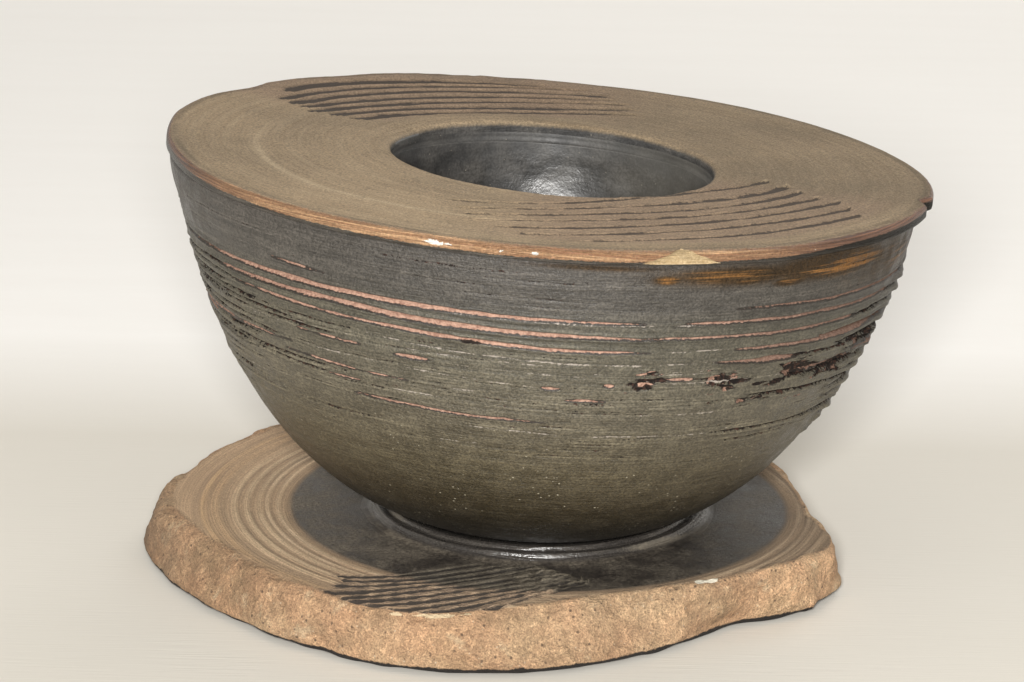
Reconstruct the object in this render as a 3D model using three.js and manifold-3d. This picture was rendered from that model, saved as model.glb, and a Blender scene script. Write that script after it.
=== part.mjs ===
// A wheel-thrown clay pot that sits, a little askew, on its own rough slab.
//
// The pot is a round-bottomed bowl closed by a flat rim disc. The disc has a
// round mouth, and an inner cup hangs below the mouth. The slab carries a low
// raised ring, and the bowl's round foot beds down inside that ring.
//
// Millimetres, +Z up, the front is -Y. The origin is on the slab's underside,
// below the centre of its turned face.

import * as THREE from 'three';
import { mergeVertices } from 'three/addons/utils/BufferGeometryUtils.js';
import Module from 'manifold-3d';

// Driving dimensions

const SEAM = 0.3; // clearance left in each luted seam and under the bowl

const SLAB_THICKNESS = 19;
// The slab was torn to size, so its outline is a list of radii: one every
// 22.5 degrees, anticlockwise from +X, at the top edge and at the foot.
const SLAB_TOP_RADII = [91, 92, 99, 107, 113, 118, 121, 122, 123, 113, 111, 110, 95, 87, 91, 99];
const SLAB_FOOT_RADII = [93, 93, 100, 109, 115, 120, 125, 129, 131, 121, 115, 113, 107, 95, 88, 98];
const SLAB_SEGMENTS = 64;

const RING_INNER_RADIUS = 34;
const RING_CREST_RADIUS = 52;
const RING_OUTER_RADIUS = 62;
const RING_HEIGHT = 3.6;

const BOWL_RIM_RADIUS = 118.4;
const BOWL_DEPTH = 115;
const BOWL_WALL = 6;
const BOWL_BELLY = { bend: 1.35, foot: 0.35 };

const DISC_RADIUS = 122.5;
const DISC_THICKNESS = 4.6;
const DISC_ROUNDING = 1.2;

const MOUTH_RADIUS = 51.6;
const MOUTH_OFFSET = new THREE.Vector2(1.5, 1);

const CUP_RADIUS = 54;
const CUP_DEPTH = 65;
const CUP_WALL = 5;
const CUP_BELLY = { bend: 2.2, foot: 0.5 };

// The pot stands in its seat rolled to the right and leaning to the back.
const POT_TOP_CENTRE = new THREE.Vector3(0.8, -2, 137.2);
const POT_ROLL_RIGHT = THREE.MathUtils.degToRad(3.5);
const POT_LEAN_BACK = THREE.MathUtils.degToRad(2.5);

// Booleans

const wasm = await Module();
wasm.setup();

function toSolid(geometry) {
  const bare = new THREE.BufferGeometry();
  bare.setAttribute('position', geometry.getAttribute('position').clone());
  bare.setIndex(geometry.getIndex());
  const merged = mergeVertices(bare, 1e-4);
  return new wasm.Manifold(new wasm.Mesh({
    numProp: 3,
    vertProperties: new Float32Array(merged.getAttribute('position').array),
    triVerts: new Uint32Array(merged.getIndex().array),
  }));
}

function toGeometry(solid) {
  const mesh = solid.getMesh();
  const geometry = new THREE.BufferGeometry();
  geometry.setAttribute('position', new THREE.BufferAttribute(mesh.vertProperties, 3));
  geometry.setIndex(new THREE.BufferAttribute(mesh.triVerts, 1));
  geometry.computeVertexNormals();
  return geometry;
}

function cut(geometry, cutter) {
  return toGeometry(toSolid(geometry).subtract(toSolid(cutter)));
}

// Shapes

// A profile of (radius, height) points, turned about the Z axis.
function turned(points, segments) {
  return new THREE.LatheGeometry(points, segments).rotateX(Math.PI / 2);
}

// One wall of a round-bottomed form, from its foot on the axis up to its rim at height 0.
function bellyProfile(radius, depth, belly, steps) {
  return Array.from({ length: steps + 1 }, (_, step) => {
    const fall = Math.cos((step / steps) * Math.PI / 2);
    const width = Math.pow(Math.max(1 - Math.pow(fall, belly.bend), 0), belly.foot);
    return new THREE.Vector2(step === 0 ? 0 : radius * width, -depth * fall);
  });
}

// An open vessel: the outer wall going up, a flat rim, and the inner wall going down.
function vessel(outerRadius, outerDepth, wall, belly, steps, segments) {
  const outside = bellyProfile(outerRadius, outerDepth, belly, steps);
  const inside = bellyProfile(outerRadius - wall, outerDepth - wall, belly, steps);
  return turned([...outside, ...inside.reverse()], segments);
}

// The radius of the slab's outline at an angle, smoothly between the listed radii.
function outlineRadius(radii, angle) {
  const place = (angle / (2 * Math.PI)) * radii.length;
  const before = Math.floor(place);
  const radiusAt = (offset) => radii[(before + offset + radii.length) % radii.length];
  const t = place - before;
  const [a, b, c, d] = [radiusAt(-1), radiusAt(0), radiusAt(1), radiusAt(2)];
  const slopeStart = (c - a) / 2;
  const slopeEnd = (d - b) / 2;
  return b + t * (slopeStart + t * (3 * (c - b) - 2 * slopeStart - slopeEnd
    + t * (2 * (b - c) + slopeStart + slopeEnd)));
}

// Sub-parts

// A round blank of radius 1 whose rings of vertices are pulled out to the torn outline.
function slabGeometry() {
  const footChamfer = 0.97;
  const blank = [[0, 0], [footChamfer, 0], [1, 3], [1, 8], [1, 14], [1, 18], [0.985, 19], [0, 19]];
  const points = blank.map(([radius, level]) => (
    new THREE.Vector2(radius, (level / 19) * SLAB_THICKNESS)));
  const geometry = turned(points, SLAB_SEGMENTS);
  const position = geometry.getAttribute('position');
  for (let i = 0; i < position.count; i += 1) {
    const unit = Math.hypot(position.getX(i), position.getY(i));
    const turn = (Math.atan2(position.getY(i), position.getX(i)) + 2 * Math.PI) % (2 * Math.PI);
    const segment = Math.round((turn / (2 * Math.PI)) * SLAB_SEGMENTS) % SLAB_SEGMENTS;
    const angle = (segment / SLAB_SEGMENTS) * 2 * Math.PI;
    const foot = outlineRadius(SLAB_FOOT_RADII, angle);
    const top = outlineRadius(SLAB_TOP_RADII, angle);
    const radius = unit * THREE.MathUtils.lerp(foot, top, position.getZ(i) / SLAB_THICKNESS);
    position.setXY(i, radius * Math.cos(angle), radius * Math.sin(angle));
  }
  return geometry;
}

// A low coil with a rounded crest, thick outside and sloping in towards the bowl's foot.
function seatRingGeometry() {
  const base = SLAB_THICKNESS + SEAM;
  const crest = SLAB_THICKNESS + RING_HEIGHT;
  const section = [
    [RING_INNER_RADIUS, base],
    [RING_OUTER_RADIUS, base],
    [RING_OUTER_RADIUS - 1.5, base + 0.8],
    [RING_CREST_RADIUS + 4, crest - 1],
    [RING_CREST_RADIUS + 1.5, crest - 0.2],
    [RING_CREST_RADIUS - 1, crest],
    [RING_CREST_RADIUS - 4, crest - 0.5],
    [RING_INNER_RADIUS + 6, base + 1.7],
    [RING_INNER_RADIUS, base + 1],
  ];
  const closed = [...section, section[0]];
  return turned(closed.map(([radius, level]) => new THREE.Vector2(radius, level)), 60);
}

function rimDiscGeometry() {
  const outline = new THREE.Shape().absarc(0, 0, DISC_RADIUS, 0, 2 * Math.PI, false);
  const mouth = new THREE.Path();
  mouth.absarc(MOUTH_OFFSET.x, MOUTH_OFFSET.y, MOUTH_RADIUS, 0, 2 * Math.PI, true);
  outline.holes.push(mouth);
  const geometry = new THREE.ExtrudeGeometry(outline, {
    depth: DISC_THICKNESS - 2 * DISC_ROUNDING,
    curveSegments: 40,
    bevelThickness: DISC_ROUNDING,
    bevelSize: DISC_ROUNDING,
    bevelOffset: -DISC_ROUNDING,
    bevelSegments: 2,
  });
  return geometry.translate(0, 0, DISC_ROUNDING - DISC_THICKNESS);
}

function bowlGeometry() {
  return vessel(BOWL_RIM_RADIUS, BOWL_DEPTH, BOWL_WALL, BOWL_BELLY, 12, 64);
}

function cupGeometry() {
  return vessel(CUP_RADIUS + CUP_WALL, CUP_DEPTH + CUP_WALL, CUP_WALL, CUP_BELLY, 10, 48);
}

// The bowl's outer form with the seam's clearance round it, which hollows out its seat.
function seatCutterGeometry() {
  const outside = bellyProfile(BOWL_RIM_RADIUS + SEAM, BOWL_DEPTH + SEAM, BOWL_BELLY, 24);
  return turned([...outside, new THREE.Vector2(0, 0)], 96);
}

// Materials

function clay(colour, roughness) {
  return new THREE.MeshStandardMaterial({ color: colour, roughness, metalness: 0 });
}

const buffGrog = clay(0xb08f66, 0.95);
const blackSlip = clay(0x2c2a29, 0.3);
const oliveBlackSlip = clay(0x3d372c, 0.45);
const taupeClay = clay(0x6e5a45, 0.8);
const burnishedBlack = clay(0x2f2e2f, 0.25);

// Assembly

function part(name, geometry, material) {
  const mesh = new THREE.Mesh(geometry, material);
  mesh.name = name;
  return mesh;
}

const pot = new THREE.Group();
pot.position.copy(POT_TOP_CENTRE);
pot.rotation.set(-POT_LEAN_BACK, POT_ROLL_RIGHT, 0);

const belowDisc = -DISC_THICKNESS - SEAM;

const rimDisc = part('rim_disc', rimDiscGeometry(), taupeClay);

const bowl = part('bowl_shell', bowlGeometry(), oliveBlackSlip);
bowl.position.z = belowDisc;

const cup = part('inner_cup', cupGeometry(), burnishedBlack);
cup.position.set(MOUTH_OFFSET.x, MOUTH_OFFSET.y, belowDisc);

pot.add(rimDisc, bowl, cup);
pot.updateMatrixWorld(true);

const seatCutter = seatCutterGeometry().applyMatrix4(bowl.matrixWorld);
const slab = part('base_slab', cut(slabGeometry(), seatCutter), buffGrog);
const seatRing = part('seat_ring', cut(seatRingGeometry(), seatCutter), blackSlip);

const potOnSlab = new THREE.Group();
potOnSlab.add(slab, seatRing, pot);

export default potOnSlab;
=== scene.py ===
"""A dark clay pot, closed by a flat combed disc, standing askew on its own torn slab.

Lengths are millimetres until a mesh is built, and metres from then on. Azimuths are degrees
anticlockwise from +X, so the front is at -90. Depths are measured down from the disc's top.
"""

import math
from collections import namedtuple
from itertools import product

import bpy
import numpy as np
from mathutils import Matrix, Vector


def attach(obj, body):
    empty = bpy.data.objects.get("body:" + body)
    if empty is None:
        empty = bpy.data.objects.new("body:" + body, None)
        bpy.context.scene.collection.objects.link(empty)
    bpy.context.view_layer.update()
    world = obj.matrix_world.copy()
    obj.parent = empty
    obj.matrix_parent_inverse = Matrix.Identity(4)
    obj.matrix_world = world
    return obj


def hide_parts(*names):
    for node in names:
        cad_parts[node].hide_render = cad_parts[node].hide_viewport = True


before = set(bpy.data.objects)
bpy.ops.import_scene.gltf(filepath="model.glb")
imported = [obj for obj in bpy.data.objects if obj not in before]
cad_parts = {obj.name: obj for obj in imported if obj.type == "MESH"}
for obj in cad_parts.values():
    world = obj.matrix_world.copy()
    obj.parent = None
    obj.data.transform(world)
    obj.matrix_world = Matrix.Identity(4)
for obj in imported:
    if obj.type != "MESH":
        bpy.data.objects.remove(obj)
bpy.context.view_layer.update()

# Driving dimensions, as in the CAD part

MM = 0.001
SEAM = 0.3

SLAB_TOP = 19.0
# The slab's torn outline: one radius every 22.5 degrees from +X, at the top edge and at the foot.
SLAB_TOP_RADII = [91, 92, 99, 107, 113, 118, 121, 122, 123, 113, 111, 110, 95, 87, 91, 99]
SLAB_FOOT_RADII = [93, 93, 100, 109, 115, 120, 125, 129, 131, 121, 115, 113, 107, 95, 88, 98]
RING_UNDERSIDE = SLAB_TOP - 0.6
# The seat ring's top, from its inner edge out: (radius, height over the slab).
RING_SECTION = [
    (34, 1.3), (40, 2.0), (44, 2.6), (47, 3.2), (48.8, 3.5), (49.8, 3.3), (50.3, 2.3),
    (51.2, 2.2), (52.4, 2.6), (53.5, 2.5), (54.1, 1.3), (54.9, 0.8), (56.2, 0.30), (57.6, 0.02),
    (59, -0.3), (62.5, -0.5),
]

BOWL_RIM_RADIUS = 118.4
BOWL_RIM_DEPTH = 4.9
BOWL_DEPTH = 115.0
BOWL_WALL = 6.0
BOWL_BEND = 1.35
BOWL_FOOT = 0.35

DISC_RADIUS = 122.5
DISC_THICKNESS = 4.6
MOUTH_RADIUS = 51.6
MOUTH_OFFSET = np.array((1.5, 1.0))
CUP_RADIUS = 54.0
CUP_DEPTH = 65.0
CUP_WALL = 5.0

POT_TOP_CENTRE = np.array((0.8, -2.0, 137.2))
POT_ROLL_RIGHT = math.radians(3.5)
POT_LEAN_BACK = math.radians(2.5)
POT_TURN = np.array(Matrix.Rotation(-POT_LEAN_BACK, 3, "X") @ Matrix.Rotation(POT_ROLL_RIGHT, 3, "Y"))


def pot_to_world(points):
    return points @ POT_TURN.T + POT_TOP_CENTRE


def world_to_pot(points):
    return (points - POT_TOP_CENTRE) @ POT_TURN


# A mark is a field of millimetres in from its edge; this is its value where there is no mark.
UNMARKED = -2.0


# Noise and curves

LATTICE_SIZE = 64
LATTICE = np.random.default_rng(11).uniform(-1, 1, (LATTICE_SIZE,) * 3)


def noise(points, cell, seed=0):
    """Smooth noise from -1 to 1. Its lumps are about one cell across; a cell may differ by axis."""
    place = points / np.asarray(cell, float) + 5.37 * seed
    corner = np.floor(place).astype(int)
    part = place - corner
    part = part * part * (3 - 2 * part)
    total = np.zeros(points.shape[:-1])
    for step in product((0, 1), repeat=3):
        weight = np.prod(np.where(step, part, 1 - part), axis=-1)
        near = (corner + step) % LATTICE_SIZE
        total += weight * LATTICE[near[..., 0], near[..., 1], near[..., 2]]
    return total


def layered(points, cell, layers, seed=0):
    """Noise with finer layers added, each half as wide and half as strong."""
    return sum(noise(points, np.asarray(cell, float) / 2**n, seed + n) / 2**n for n in range(layers))


def smooth(value, low, high):
    """0 below low and 1 above high, with a smooth step between; low may be the larger."""
    t = np.clip((value - low) / (high - low), 0, 1)
    return t * t * (3 - 2 * t)


def hill(value, centre, width):
    return np.exp(-(((value - centre) / width) ** 2))


def aside(azimuth, middle):
    """Degrees from the middle azimuth, from -180 to 180."""
    return (azimuth - middle + 180) % 360 - 180


def near_azimuth(azimuth, middle):
    """The same azimuth, counted so that it lies within half a turn of middle."""
    return middle + aside(azimuth, middle)


def oval(across, along):
    """1 in the middle of an oval and 0 at its edge; both places are shares of the half widths."""
    return 1 - np.hypot(across, along)


def closed_curve(azimuth, knots):
    """A smooth closed curve through (azimuth, value) knots, by cubic steps between them."""
    places = np.array([k[0] for k in knots], float)
    values = np.array([k[1] for k in knots], float)
    order = np.argsort(places)
    places, values = places[order], values[order]
    places = np.concatenate([places[-2:] - 360, places, places[:2] + 360])
    values = np.concatenate([values[-2:], values, values[:2]])
    slopes = np.gradient(values, places)
    turn = places[2] + (azimuth - places[2]) % 360
    after = np.clip(np.searchsorted(places, turn, side="right"), 1, len(places) - 1)
    span = places[after] - places[after - 1]
    t = (turn - places[after - 1]) / span
    rise = values[after] - values[after - 1]
    start, end = slopes[after - 1] * span, slopes[after] * span
    return values[after - 1] + t * (start + t * (3 * rise - 2 * start - end + t * (start + end - 2 * rise)))


def evenly_turned(radii):
    return [(360 * n / len(radii), radius) for n, radius in enumerate(radii)]


# Turned grids: rows run along a section, columns round the axis. A section starts under the
# piece, goes out, up and back in, so that every face looks outwards.


def columns(count, front_share):
    """Azimuths round the axis, closer together at the front by that share."""
    turn = np.linspace(-math.pi, math.pi, count, endpoint=False)
    return np.degrees(turn - front_share * np.sin(turn)) - 90


def paced(section, pace):
    """The section with its points moved to be pace(radius, height) apart."""
    section = np.asarray(section, float)
    steps = np.linalg.norm(np.diff(section, axis=0), axis=1)
    pace_there = pace(*((section[1:] + section[:-1]) / 2).T)
    count = np.concatenate([[0], np.cumsum(steps / pace_there)])
    wanted = np.linspace(0, count[-1], int(round(count[-1])) + 1)
    return np.stack([np.interp(wanted, count, section[:, n]) for n in (0, 1)], axis=1)


def even(pace):
    """The same pace everywhere."""
    return lambda radius, height: np.full(np.shape(radius), pace)


def turned(section, azimuths):
    """A grid of points from a section of (radius, height)."""
    angle = np.radians(azimuths)
    radius = section[:, 0, None]
    height = np.broadcast_to(section[:, 1, None], (len(section), len(angle)))
    return np.stack([radius * np.cos(angle), radius * np.sin(angle), height], axis=-1)


def raised(grid, heights):
    """The grid with each point moved out along the surface's normal."""
    along = np.gradient(grid, axis=0)
    around = np.roll(grid, -1, axis=1) - np.roll(grid, 1, axis=1)
    normal = np.cross(around, along)
    normal /= np.linalg.norm(normal, axis=-1, keepdims=True) + 1e-9
    return grid + normal * heights[..., None]


def polar(grid):
    """Azimuth in degrees and distance from the axis, of each point."""
    return np.degrees(np.arctan2(grid[..., 1], grid[..., 0])), np.hypot(grid[..., 0], grid[..., 1])


def lines_round(across, grid):
    """Places for strokes that run round the axis: millimetres across them, and a point on a circle."""
    scale = 100 / (np.hypot(grid[..., 0], grid[..., 1]) + 1e-6)
    return np.stack([across, grid[..., 0] * scale, grid[..., 1] * scale], axis=-1)


def lanes_round(grid):
    """Places for relief that runs in lanes round the axis."""
    return np.stack([np.hypot(grid[..., 0], grid[..., 1]), grid[..., 0] / 12, grid[..., 1] / 12], axis=-1)


def arc(centre, radius, start, end, steps):
    turn = np.radians(np.linspace(start, end, steps))
    return [(centre[0] + radius * math.cos(a), centre[1] + radius * math.sin(a)) for a in turn]


def wall(radius, depth, width, fall):
    """A round-bottomed wall's section, from its foot up to the disc's underside."""
    return np.stack([radius * width, -BOWL_RIM_DEPTH - depth * fall], axis=1)


def build(name, grid, attributes, capped, material):
    """A mesh from a grid. A capped one closes at a pole at each end, any other joins its ends."""
    rows, count = grid.shape[:2]
    index = np.arange(rows * count).reshape(rows, count)
    lower, upper = (index[1:-2], index[2:-1]) if capped else (index, np.roll(index, -1, axis=0))
    quads = np.stack([lower, np.roll(lower, -1, axis=1), np.roll(upper, -1, axis=1), upper], axis=-1)
    faces = quads.reshape(-1, 4).tolist()
    used = np.arange(rows * count)
    if capped:
        first, last = index[1], index[-2]
        faces += [(0, int(b), int(a)) for a, b in zip(first, np.roll(first, -1))]
        faces += [(int(a), int(b), int(index[-1, 0])) for a, b in zip(last, np.roll(last, -1))]
        used = np.concatenate([[0], index[1:-1].ravel(), [index[-1, 0]]])
        renumber = np.zeros(rows * count, int)
        renumber[used] = np.arange(len(used))
        faces = [[int(renumber[v]) for v in face] for face in faces]
    mesh = bpy.data.meshes.new(name)
    mesh.from_pydata((grid.reshape(-1, 3)[used] * MM).tolist(), [], faces)
    for key, values in attributes.items():
        is_vector = values.ndim == 3
        layer = mesh.attributes.new(key, "FLOAT_VECTOR" if is_vector else "FLOAT", "POINT")
        flat = values.reshape(rows * count, -1)[used].astype(np.float32).ravel()
        layer.data.foreach_set("vector" if is_vector else "value", flat)
    mesh.shade_smooth()
    mesh.materials.append(material)
    piece = bpy.data.objects.new(name, mesh)
    bpy.context.scene.collection.objects.link(piece)
    return piece


# Materials


class Shader:
    """Builds one node material. A value given to a node may be a constant or another node's output."""

    def __init__(self, name):
        self.material = bpy.data.materials.new(name)
        self.material.use_nodes = True
        self.tree = self.material.node_tree
        self.surface = self.tree.nodes["Principled BSDF"]
        self.place = self.add("ShaderNodeTexCoord").outputs["Object"]

    def add(self, kind, inputs=(), **settings):
        node = self.tree.nodes.new(kind)
        for key, value in settings.items():
            setattr(node, key, value)
        for key, value in dict(inputs).items():
            self.give(node.inputs[key], value)
        return node

    def give(self, socket, value):
        if isinstance(value, bpy.types.NodeSocket):
            self.tree.links.new(value, socket)
        elif isinstance(value, tuple) and len(value) == 3 and socket.type == "RGBA":
            socket.default_value = (*value, 1)
        else:
            socket.default_value = value

    def number(self, name):
        return self.add("ShaderNodeAttribute", attribute_name=name).outputs["Fac"]

    def vector(self, name, scale):
        place = self.add("ShaderNodeAttribute", attribute_name=name).outputs["Vector"]
        return self.stretched(place, scale)

    def stretched(self, place, scale):
        return self.add("ShaderNodeMapping", {"Vector": place, "Scale": scale}).outputs["Vector"]

    def noise(self, scale, detail, roughness=0.5, place=None):
        inputs = {"Vector": place or self.place, "Scale": scale, "Detail": detail, "Roughness": roughness}
        return self.add("ShaderNodeTexNoise", inputs).outputs["Fac"]

    def specks(self, scale, edge, core):
        """Scattered specks: 0 beyond the edge and 1 within the core."""
        inputs = {"Vector": self.place, "Scale": scale}
        return self.step(self.add("ShaderNodeTexVoronoi", inputs).outputs["Distance"], edge, core)

    def patches(self, scale, detail, roughness):
        """Noise spread out to fill 0 to 1."""
        return self.spread(self.noise(scale, detail, roughness))

    def strokes(self, across, along, detail, roughness):
        """The same in strokes that run round the axis, with the noise's scale across and along them."""
        place = self.vector("lines", (across, along, along))
        return self.spread(self.noise(1, detail, roughness, place))

    def spread(self, fac):
        return self.step(fac, 0.34, 0.66)

    def math(self, operation, *values):
        node = self.add("ShaderNodeMath", operation=operation)
        for socket, value in zip(node.inputs, values):
            self.give(socket, value)
        return node.outputs[0]

    def times(self, a, b):
        return self.math("MULTIPLY", a, b)

    def plus(self, a, b):
        return self.math("ADD", a, b)

    def minus(self, a, b):
        return self.math("SUBTRACT", a, b)

    def larger(self, a, b):
        return self.math("MAXIMUM", a, b)

    def step(self, value, low, high):
        """0 below low and 1 above high, smoothly."""
        inputs = {"Value": value, "From Min": low, "From Max": high}
        node = self.add("ShaderNodeMapRange", inputs, interpolation_type="SMOOTHSTEP")
        return node.outputs["Result"]

    def span(self, value, low, high):
        """A value from 0 to 1 carried over to low to high."""
        inputs = {"Value": value, "To Min": low, "To Max": high}
        return self.add("ShaderNodeMapRange", inputs).outputs["Result"]

    def ramp(self, value, stops):
        node = self.add("ShaderNodeValToRGB", {"Fac": value})
        elements = node.color_ramp.elements
        while len(elements) < len(stops):
            elements.new(0.5)
        for element, (position, colour) in zip(elements, stops):
            element.position = position
            element.color = (*colour, 1)
        return node.outputs["Color"]

    def mix(self, share, first, second, blend="MIX"):
        node = self.add("ShaderNodeMix", data_type="RGBA", blend_type=blend)
        for socket, value in zip((node.inputs[0], node.inputs[6], node.inputs[7]), (share, first, second)):
            self.give(socket, value)
        return node.outputs[2]

    def shaded(self, colour, factor):
        """The colour made darker or lighter by a factor."""
        return self.mix(1.0, colour, factor, "MULTIPLY")

    def varied(self, colour, *spans):
        """The colour shaded by each value in turn, carried over to its low to high."""
        for value, low, high in spans:
            colour = self.shaded(colour, self.span(value, low, high))
        return colour

    def bump(self, height, distance, normal=None):
        node = self.add("ShaderNodeBump", {"Height": height, "Distance": distance})
        if normal is not None:
            self.give(node.inputs["Normal"], normal)
        return node.outputs["Normal"]

    def finish(self, colour, roughness, normal, **others):
        self.give(self.surface.inputs["Base Color"], colour)
        self.give(self.surface.inputs["Roughness"], roughness)
        self.give(self.surface.inputs["Normal"], normal)
        for key, value in others.items():
            self.give(self.surface.inputs[key.replace("_", " ")], value)
        return self.material


def torn(s, field, raggedness, softness=0.06):
    """1 inside a mark, 0 outside. The field is millimetres in from the mark's edge, torn by noise."""
    tear = s.times(s.minus(s.noise(800, 3, 0.7), 0.5), raggedness)
    return s.step(s.plus(field, tear), -softness, softness)


def combed_field(s):
    """Millimetres in from the edge of the nearest comb tooth's mark."""
    away = s.times(s.math("PINGPONG", s.number("tooth"), 0.5), s.number("pitch"))
    drag = s.noise(1, 3, 0.6, s.vector("combing", (1.0, 0.14, 0.14)))
    dragged = s.math("MULTIPLY_ADD", s.minus(drag, 0.5), 2.0, s.number("half"))
    return s.minus(dragged, away)


def brushed_slip(s, depth, streaks, hairs, mottle, grain):
    """Dark slip, paler below the bowl's rim and darker towards its foot."""
    slip = s.ramp(depth, [
        (0.04, (0.054, 0.048, 0.042)), (0.17, (0.059, 0.053, 0.045)), (0.24, (0.075, 0.068, 0.050)),
        (0.48, (0.090, 0.078, 0.054)), (0.66, (0.072, 0.059, 0.034)), (0.77, (0.040, 0.031, 0.016)),
        (0.88, (0.014, 0.011, 0.006)),
    ])
    stained = s.number("stain")
    browned = s.step(stained, 0.03, 0.60)
    slip = s.mix(browned, slip, (0.043, 0.026, 0.012))
    slip = s.shaded(slip, s.number("tone"))
    calm = s.step(depth, 0.20, 0.42)
    slip = s.varied(slip, (streaks, s.span(calm, 0.72, 0.86), s.span(calm, 1.16, 1.08)))
    slip = s.varied(slip, (hairs, 0.92, 1.07), (mottle, 0.82, 1.14), (grain, 0.60, 1.42))
    orange = s.step(s.times(stained, s.span(streaks, 0.35, 1.30)), 0.45, 0.78)
    orange = s.times(orange, s.times(s.span(grain, 0.45, 1.0), s.span(mottle, 0.55, 1.0)))
    return s.mix(orange, slip, (0.235, 0.108, 0.030)), browned


def slip_material():
    """Dark brushed slip, scored through: some lines show pink clay, some are pale lines painted as
    highlights glinting on their burrs, and some are dark, partly with painted shade in the cut.
    """
    s = Shader("olive_slip")
    depth = s.add("ShaderNodeSeparateXYZ", {"Vector": s.vector("lines", (1 / 120, 1, 1))}).outputs["X"]
    streaks = s.strokes(0.85, 0.020, 4, 0.65)
    hairs = s.strokes(3.2, 0.07, 2, 0.5)
    mottle = s.patches(150, 4, 0.65)
    grain = s.patches(1350, 3, 0.7)
    colour, browned = brushed_slip(s, depth, streaks, hairs, mottle, grain)
    dark_field = s.number("dark")
    # Painted highlight: the burrs beside the dark grooves are painted lighter, as if catching the light.
    burr = s.minus(s.step(dark_field, -0.9, -0.5), s.step(dark_field, -0.4, -0.1))
    colour = s.varied(colour, (burr, 1.0, 1.35))
    # Dark scores and torn flakes: a near-black colour, partly the cut's own colour and partly painted shade
    # in the cut.
    gouge = s.mix(s.step(s.noise(650, 3, 0.7), 0.50, 0.60), (0.012, 0.009, 0.008), (0.050, 0.026, 0.019))
    gouged = torn(s, dark_field, 1.3)
    colour = s.mix(gouged, colour, gouge)
    bare_field = s.number("bare")
    # Painted shadow: a thin near-black line along the edges of the bare scores.
    rim = torn(s, s.plus(bare_field, 0.36), 0.9)
    colour = s.mix(s.times(rim, 0.9), colour, (0.020, 0.015, 0.012))
    clay = s.mix(s.patches(900, 4, 0.7), (0.205, 0.112, 0.080), (0.385, 0.240, 0.178))
    bare = torn(s, bare_field, 0.8)
    colour = s.mix(bare, colour, s.shaded(clay, s.number("shade")))
    # Pale lines: painted highlights, glinting along the burrs beside the scores.
    pale = torn(s, s.number("pale"), 1.0)
    colour = s.mix(s.times(pale, 0.75), colour, (0.36, 0.315, 0.275))
    # Painted glints: small pale specks low on the bowl.
    glint_specks = s.times(s.specks(400, 0.15, 0.07), s.step(s.noise(60, 2), 0.44, 0.60))
    glint_specks = s.times(glint_specks, s.step(depth, 0.40, 0.70))
    colour = s.mix(s.times(glint_specks, 0.85), colour, (0.42, 0.38, 0.29))
    roughness = s.span(s.larger(s.larger(bare, gouged), s.times(mottle, 0.4)), 0.33, 0.85)
    normal = s.bump(s.plus(s.times(hairs, 0.25), s.times(streaks, 0.45)), 0.00024)
    normal = s.bump(s.plus(grain, s.times(mottle, 1.5)), 0.00010, normal)
    sheen = s.span(s.larger(browned, gouged), 0.50, 0.16)
    return s.finish(colour, roughness, normal, Specular_IOR_Level=sheen)


def burnished(s):
    """Black slip burnished and brushed round a wall: its colour and its height."""
    clouds = s.strokes(0.12, 0.05, 2, 0.5)
    strokes = s.strokes(0.70, 0.13, 3, 0.6)
    grain = s.patches(1300, 3, 0.6)
    colour = s.mix(clouds, (0.033, 0.032, 0.031), (0.064, 0.060, 0.055))
    colour = s.varied(colour, (strokes, 0.86, 1.16), (grain, 0.72, 1.32))
    colour = s.mix(s.specks(330, 0.09, 0.04), colour, (0.22, 0.20, 0.16))
    height = s.plus(s.times(clouds, 1.2), s.times(strokes, 0.12))
    return colour, s.plus(height, s.times(grain, 0.28))


def combed_taupe(s, rings, fibres, grain):
    """The disc's matte clay: turned lines, worn and scraped places, and dark combed grooves with painted
    shade in and around them.
    """
    clay = s.mix(rings, (0.272, 0.200, 0.122), (0.312, 0.235, 0.148))
    clay = s.varied(clay, (s.patches(26, 4, 0.6), 0.88, 1.12))
    clay = s.shaded(clay, s.number("tone"))
    clay = s.mix(s.times(s.number("worn"), 0.6), clay, (0.46, 0.36, 0.235))
    clay = s.mix(s.times(s.number("scraped"), 0.75), clay, (0.250, 0.172, 0.116))
    clay = s.varied(clay, (fibres, 0.94, 1.06), (grain, 0.66, 1.34))
    combed = combed_field(s)
    # Painted shade: the clay darkens round the comb's grooves, and their cores are near-black.
    groove_shade = s.times(s.step(combed, -1.6, 0.4), s.number("groove_shade"))
    clay = s.varied(clay, (groove_shade, 1.0, 0.50))
    clay = s.mix(s.times(torn(s, combed, 1.5, 0.22), 0.86), clay, (0.030, 0.021, 0.016))
    return s.varied(clay, (s.number("brink"), 1.0, 0.62))


def copper_edge(s, strands, grain):
    """The edge's copper-brown clay, redder at the sides."""
    copper = s.mix(strands, (0.230, 0.112, 0.056), (0.500, 0.305, 0.165))
    copper = s.varied(copper, (grain, 0.75, 1.25))
    reddened = s.mix(strands, (0.060, 0.026, 0.016), (0.26, 0.115, 0.060))
    return s.mix(s.number("reddened"), copper, reddened)


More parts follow.
